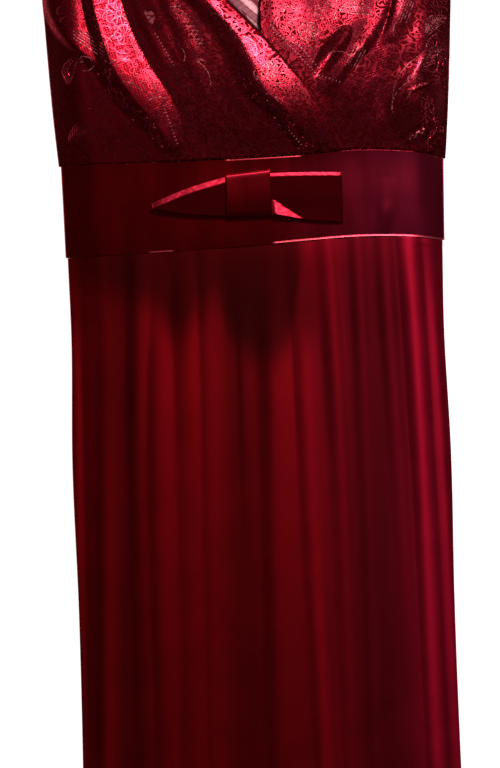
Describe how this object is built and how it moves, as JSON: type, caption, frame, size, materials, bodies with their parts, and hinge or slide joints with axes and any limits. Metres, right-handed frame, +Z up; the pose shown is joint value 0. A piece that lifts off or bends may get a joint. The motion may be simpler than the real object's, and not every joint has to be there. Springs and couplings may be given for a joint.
{
  "type": "lace evening gown",
  "caption": "Sleeveless floor-length gown laid flat: crossed lace bodice, satin waistband with a flat bow, gathered jersey skirt.",
  "frame": {"origin": "middle of the gown's outline, on the surface that it lies on", "axes": "+Y along the gown from the hem to the shoulders, +X toward the wearer's left side, +Z up from the surface, out of the front"},
  "size_m": [0.4139, 1.4601, 0.0246],
  "materials": {
    "lace": "corded floral lace on net over a satin ground, wine red with a pink sheen",
    "lining": "smooth lining, greyish rose",
    "satin": "duchess satin, deep wine red, glossy",
    "jersey": "smooth heavy jersey with a silky sheen, wine red"
  },
  "bodies": {
    "root": {"bodice_front_over": "lace", "bodice_front_under": "lace", "bodice_back": "lace", "bodice_back_lining": "lining", "waistband_front": "satin", "waistband_back": "satin", "skirt_front": "jersey", "skirt_back": "jersey", "bow_loop_right": "satin", "bow_loop_left": "satin", "bow_knot": "satin"}
  },
  "joints": []
}
